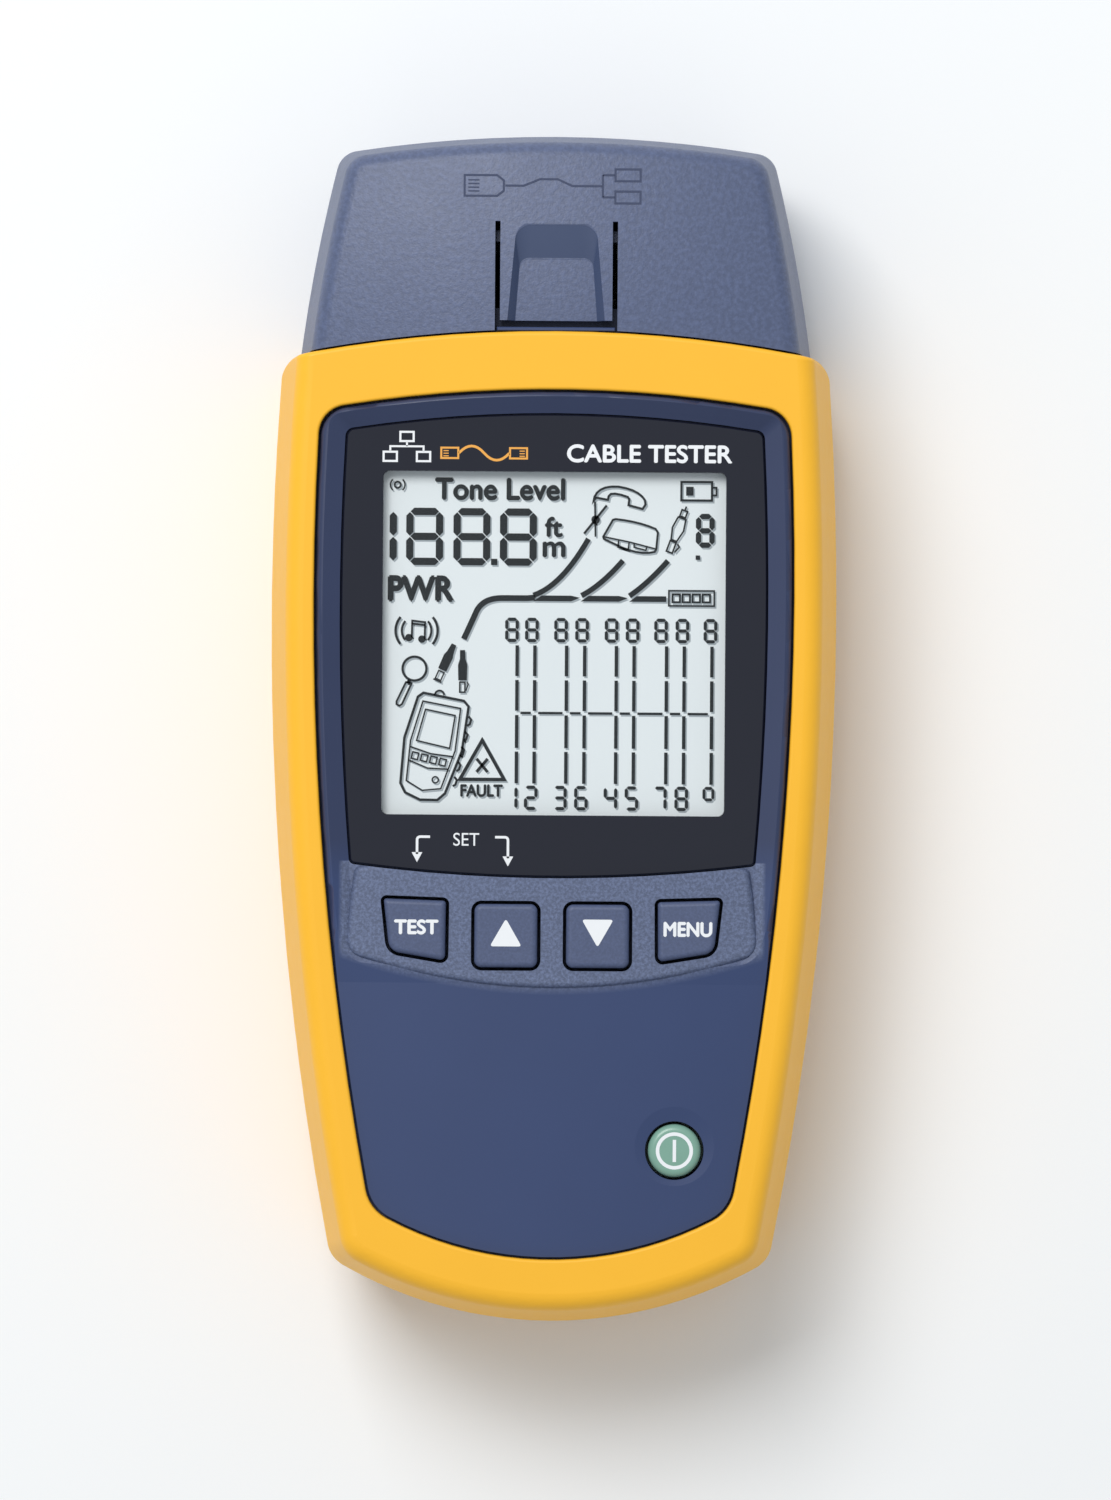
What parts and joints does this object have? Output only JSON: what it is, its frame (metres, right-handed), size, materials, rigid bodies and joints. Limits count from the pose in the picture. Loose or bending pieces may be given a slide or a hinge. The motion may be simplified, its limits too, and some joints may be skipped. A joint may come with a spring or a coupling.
{
  "type": "network cable tester",
  "caption": "Handheld network cable tester with a detachable port adapter, yellow bumper boot, segment display and rubber keys",
  "frame": {"origin": "under the middle of the object on the surface it lies on, display up", "axes": "+Z out of the display, +Y towards the detachable adapter, +X to the right when the display is read; metres"},
  "size_m": [0.0776, 0.1626, 0.0356],
  "materials": {
    "yellow_elastomer": "satin moulded elastomer",
    "blue_case_plastic": "fine spark-eroded texture",
    "blue_adapter_plastic": "fine spark-eroded texture",
    "clear_lens_plastic": "polished, clear window with dark border",
    "black_mask_plastic": "dead matt black",
    "display_glass": "polished glass with a grey reflector behind it",
    "white_plastic": "plain white moulding",
    "acrylic": "clear moulding",
    "board_laminate": "green solder mask",
    "chip_plastic": "moulded black epoxy",
    "grey_silicone": "matt silicone rubber",
    "green_silicone": "matt silicone rubber",
    "blue_silicone": "matt silicone rubber",
    "jack_plastic": "glass-filled moulding",
    "gold_contact": "gold plated",
    "nickel_plating": "bright nickel plated",
    "port_insulator": "natural white moulding",
    "spring_steel": "nickel plated spring steel",
    "screw_steel": "black zinc plated",
    "brass_insert": "turned brass",
    "cell_sleeve": "printed sleeve on a steel can",
    "foam": "open-cell foam"
  },
  "bodies": {
    "tester": {"backlight_guide": "acrylic", "backlight_leds": "white_plastic", "battery_cell_left": "cell_sleeve", "battery_cell_right": "cell_sleeve", "battery_plate_contacts": "spring_steel", "battery_spring_contacts": "spring_steel", "board_chips": "chip_plastic", "board_components": "chip_plastic", "board_screws": "screw_steel", "bumper_boot": "yellow_elastomer", "case_screws": "screw_steel", "coax_barrel": "nickel_plating", "coax_contact": "gold_contact", "coax_insulator": "port_insulator", "coax_nut": "nickel_plating", "display_lens": "clear_lens_plastic", "door_screw_insert": "brass_insert", "down_key_web": "grey_silicone", "front_case": "blue_case_plastic", "jack_contacts": "gold_contact", "jack_housing": "jack_plastic", "key_contacts": "gold_contact", "keypad_mat": "grey_silicone", "latch_strike": "blue_case_plastic", "lcd_frame": "white_plastic", "lcd_glass": "display_glass", "lens_mask": "black_mask_plastic", "main_board": "board_laminate", "mode_key_web": "grey_silicone", "port_key_web": "grey_silicone", "power_key_web": "grey_silicone", "rear_case": "blue_case_plastic", "sounder": "chip_plastic", "up_key_web": "grey_silicone", "zebra_strip": "grey_silicone"},
    "adapter": {"adapter_board": "board_laminate", "adapter_coax_barrel": "nickel_plating", "adapter_coax_contact": "gold_contact", "adapter_coax_insulator": "port_insulator", "adapter_coax_nut": "nickel_plating", "adapter_front_shell": "blue_adapter_plastic", "adapter_jack_contacts": "gold_contact", "adapter_jack_housing": "jack_plastic", "adapter_port_plate": "blue_adapter_plastic", "adapter_rear_shell": "blue_adapter_plastic", "adapter_screws": "screw_steel"},
    "latch": {"latch_tab": "blue_adapter_plastic"},
    "port_key": {"port_key": "blue_silicone"},
    "up_key": {"up_key": "blue_silicone"},
    "down_key": {"down_key": "blue_silicone"},
    "mode_key": {"mode_key": "blue_silicone"},
    "power_key": {"power_key": "green_silicone"},
    "battery_door": {"battery_door": "blue_case_plastic", "door_foam": "foam"},
    "door_screw": {"door_screw": "screw_steel"}
  },
  "joints": [
    {"name": "adapter_pull", "type": "slide", "parent": "tester", "child": "adapter", "axis": [0, 1, 0], "range_m": [0, 0.03]},
    {"name": "latch_press", "type": "hinge", "parent": "adapter", "child": "latch", "pos_m": [0, 0.0685, 0.032], "axis": [1, 0, 0], "range_deg": [0, 3], "stiffness_Nm_per_rad": 1.9},
    {"name": "port_key_press", "type": "slide", "parent": "tester", "child": "port_key", "axis": [0, 0, -1], "range_m": [0, 0.0009], "stiffness_N_per_m": 1900, "deforming": ["port_key_web"]},
    {"name": "up_key_press", "type": "slide", "parent": "tester", "child": "up_key", "axis": [0, 0, -1], "range_m": [0, 0.0009], "stiffness_N_per_m": 1900, "deforming": ["up_key_web"]},
    {"name": "down_key_press", "type": "slide", "parent": "tester", "child": "down_key", "axis": [0, 0, -1], "range_m": [0, 0.0009], "stiffness_N_per_m": 1900, "deforming": ["down_key_web"]},
    {"name": "mode_key_press", "type": "slide", "parent": "tester", "child": "mode_key", "axis": [0, 0, -1], "range_m": [0, 0.0009], "stiffness_N_per_m": 1900, "deforming": ["mode_key_web"]},
    {"name": "power_key_press", "type": "slide", "parent": "tester", "child": "power_key", "axis": [0, 0, -1], "range_m": [0, 0.0009], "stiffness_N_per_m": 1900, "deforming": ["power_key_web"]},
    {"name": "battery_door_lift", "type": "slide", "parent": "tester", "child": "battery_door", "axis": [0, 0, -1], "range_m": [0, 0.02]},
    {"name": "door_screw_turn", "type": "hinge", "parent": "battery_door", "child": "door_screw", "pos_m": [0, -0.0643, 0.001], "axis": [0, 0, -1], "range_deg": [0, 1080]}
  ]
}
